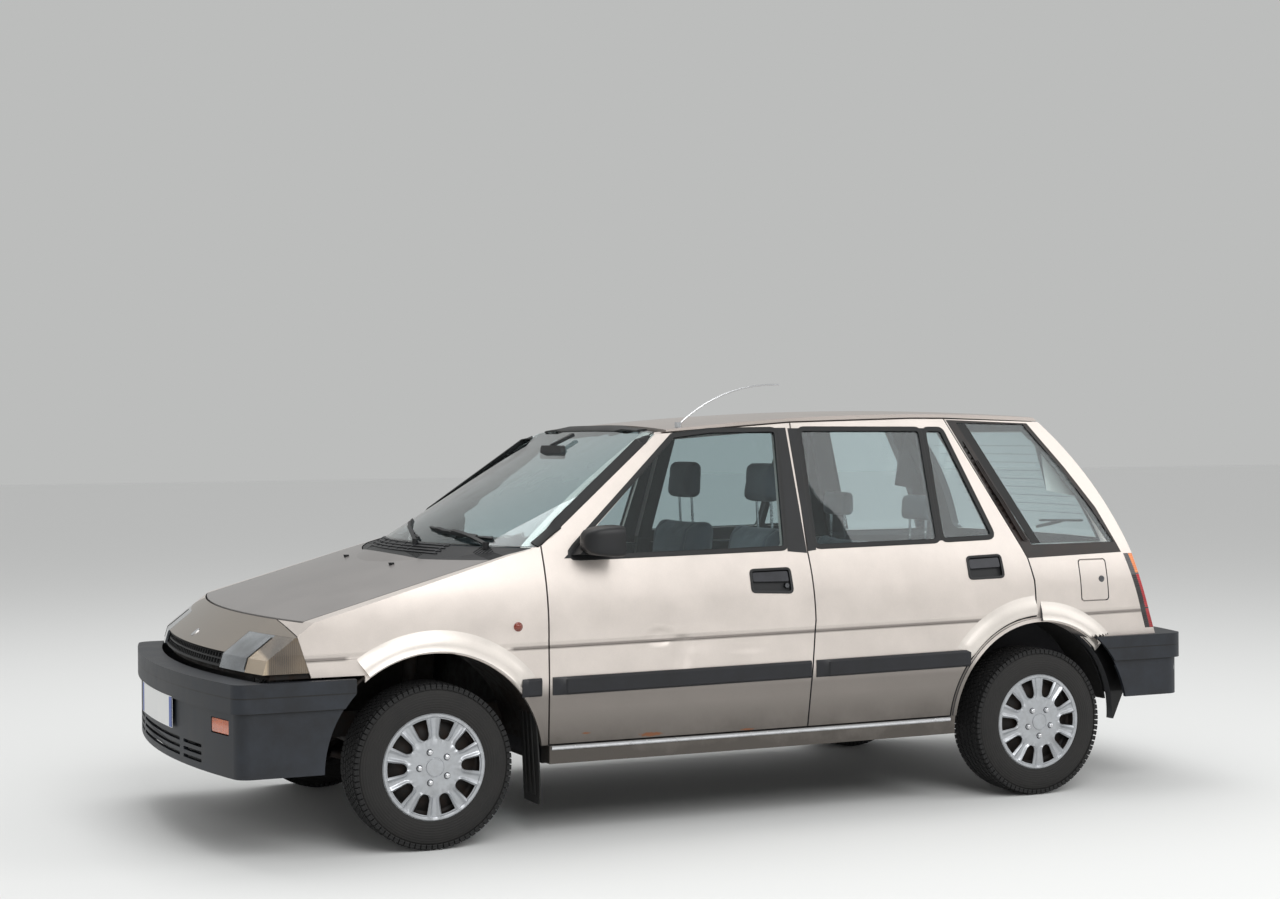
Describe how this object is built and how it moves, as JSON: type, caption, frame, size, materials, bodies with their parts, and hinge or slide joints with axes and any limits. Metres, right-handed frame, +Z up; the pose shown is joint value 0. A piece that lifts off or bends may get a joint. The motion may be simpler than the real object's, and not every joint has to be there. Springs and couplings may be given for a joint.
{
  "type": "compact station wagon",
  "caption": "Compact front-engined station wagon with five opening doors, bonnet and fuel flap, a hollow cabin with seats, steered front wheels and rolling wheels.",
  "frame": {"origin": "on the ground at the centre of the overall length and width, wheels standing on z = 0", "axes": "+X forward along the car, +Y to the car's left, +Z up"},
  "size_m": [4.1048, 1.866, 1.6234],
  "materials": {
    "body_paint": "satin metallic, weathered",
    "dark_plastic": "matt",
    "window_glass": "clear, slightly tinted",
    "lamp_clear": "fluted, clear",
    "lamp_red": "fluted, coloured",
    "tyre_rubber": "matt",
    "wheel_silver": "silver lacquer",
    "cabin_plastic": "matt",
    "seat_cloth": "woven",
    "chassis_metal": "painted, dirty",
    "bare_steel": "dull"
  },
  "bodies": {
    "body": {"antenna": "bare_steel", "cowl_grille": "dark_plastic", "dashboard": "cabin_plastic", "engine_bay": "body_paint", "engine_block": "chassis_metal", "exhaust_system": "bare_steel", "floor_pan": "body_paint", "front_bumper": "dark_plastic", "front_fenders": "body_paint", "front_seats": "seat_cloth", "front_suspension": "chassis_metal", "fuel_tank": "chassis_metal", "grille": "dark_plastic", "headlamps": "lamp_clear", "nose_panel": "body_paint", "quarter_trims": "dark_plastic", "quarter_windows": "window_glass", "rear_axle": "chassis_metal", "rear_bench": "seat_cloth", "rear_bumper": "dark_plastic", "rear_panel": "body_paint", "roof_panel": "body_paint", "side_frames": "body_paint", "tail_lamps": "lamp_red", "turn_lamps": "lamp_clear", "windscreen": "window_glass", "wipers": "dark_plastic"},
    "bonnet": {"bonnet": "body_paint"},
    "front_door_left": {"front_door_left": "body_paint", "front_door_glass_left": "window_glass", "door_mirror_left": "dark_plastic"},
    "front_door_right": {"front_door_right": "body_paint", "front_door_glass_right": "window_glass", "door_mirror_right": "dark_plastic"},
    "rear_door_left": {"rear_door_left": "body_paint", "rear_door_glass_left": "window_glass"},
    "rear_door_right": {"rear_door_right": "body_paint", "rear_door_glass_right": "window_glass"},
    "tailgate": {"tailgate": "body_paint", "tailgate_glass": "window_glass"},
    "fuel_door": {"fuel_door": "body_paint"},
    "steering_wheel": {"steering_wheel": "cabin_plastic"},
    "knuckle_left": {"knuckle_left": "chassis_metal"},
    "knuckle_right": {"knuckle_right": "chassis_metal"},
    "wheel_front_left": {"tyre_front_left": "tyre_rubber", "rim_front_left": "wheel_silver"},
    "wheel_front_right": {"tyre_front_right": "tyre_rubber", "rim_front_right": "wheel_silver"},
    "wheel_rear_left": {"tyre_rear_left": "tyre_rubber", "rim_rear_left": "wheel_silver"},
    "wheel_rear_right": {"tyre_rear_right": "tyre_rubber", "rim_rear_right": "wheel_silver"}
  },
  "joints": [
    {"name": "bonnet_hinge", "type": "hinge", "parent": "body", "child": "bonnet", "pos_m": [1.006, 0, 0.986], "axis": [0, -1, 0], "range_deg": [0, 50]},
    {"name": "front_door_left_hinge", "type": "hinge", "parent": "body", "child": "front_door_left", "pos_m": [0.8445, 0.8224, 0.6], "axis": [0, 0, -1], "range_deg": [0, 65]},
    {"name": "front_door_right_hinge", "type": "hinge", "parent": "body", "child": "front_door_right", "pos_m": [0.8445, -0.8224, 0.6], "axis": [0, 0, 1], "range_deg": [0, 65]},
    {"name": "rear_door_left_hinge", "type": "hinge", "parent": "body", "child": "rear_door_left", "pos_m": [-0.1905, 0.829, 0.6], "axis": [0, 0, -1], "range_deg": [0, 65]},
    {"name": "rear_door_right_hinge", "type": "hinge", "parent": "body", "child": "rear_door_right", "pos_m": [-0.1905, -0.829, 0.6], "axis": [0, 0, 1], "range_deg": [0, 65]},
    {"name": "tailgate_hinge", "type": "hinge", "parent": "body", "child": "tailgate", "pos_m": [-1.4275, 0, 1.4975], "axis": [0, 1, 0], "range_deg": [0, 80]},
    {"name": "fuel_door_hinge", "type": "hinge", "parent": "body", "child": "fuel_door", "pos_m": [-1.447, 0.8115, 0.84], "axis": [0, 0, -1], "range_deg": [0, 90]},
    {"name": "steer_left", "type": "hinge", "parent": "body", "child": "knuckle_left", "pos_m": [1.2525, 0.65, 0.289], "axis": [0, 0, 1], "range_deg": [-32, 32]},
    {"name": "steer_right", "type": "hinge", "parent": "body", "child": "knuckle_right", "pos_m": [1.2525, -0.65, 0.289], "axis": [0, 0, 1], "range_deg": [-32, 32]},
    {"name": "steering_wheel_turn", "type": "hinge", "parent": "body", "child": "steering_wheel", "pos_m": [0.44, 0.36, 0.905], "axis": [-0.9135, 0, 0.4067], "range_deg": [-480, 480]},
    {"name": "wheel_front_left_spin", "type": "hinge", "parent": "knuckle_left", "child": "wheel_front_left", "pos_m": [1.2525, 0.72, 0.289], "axis": [0, 1, 0], "continuous": true},
    {"name": "wheel_front_right_spin", "type": "hinge", "parent": "knuckle_right", "child": "wheel_front_right", "pos_m": [1.2525, -0.72, 0.289], "axis": [0, 1, 0], "continuous": true},
    {"name": "wheel_rear_left_spin", "type": "hinge", "parent": "body", "child": "wheel_rear_left", "pos_m": [-1.2475, 0.72, 0.289], "axis": [0, 1, 0], "continuous": true},
    {"name": "wheel_rear_right_spin", "type": "hinge", "parent": "body", "child": "wheel_rear_right", "pos_m": [-1.2475, -0.72, 0.289], "axis": [0, 1, 0], "continuous": true}
  ],
  "couplings": [
    {"joint": "steer_right", "follows": "steer_left", "ratio": 1},
    {"joint": "steering_wheel_turn", "follows": "steer_left", "ratio": 15}
  ]
}
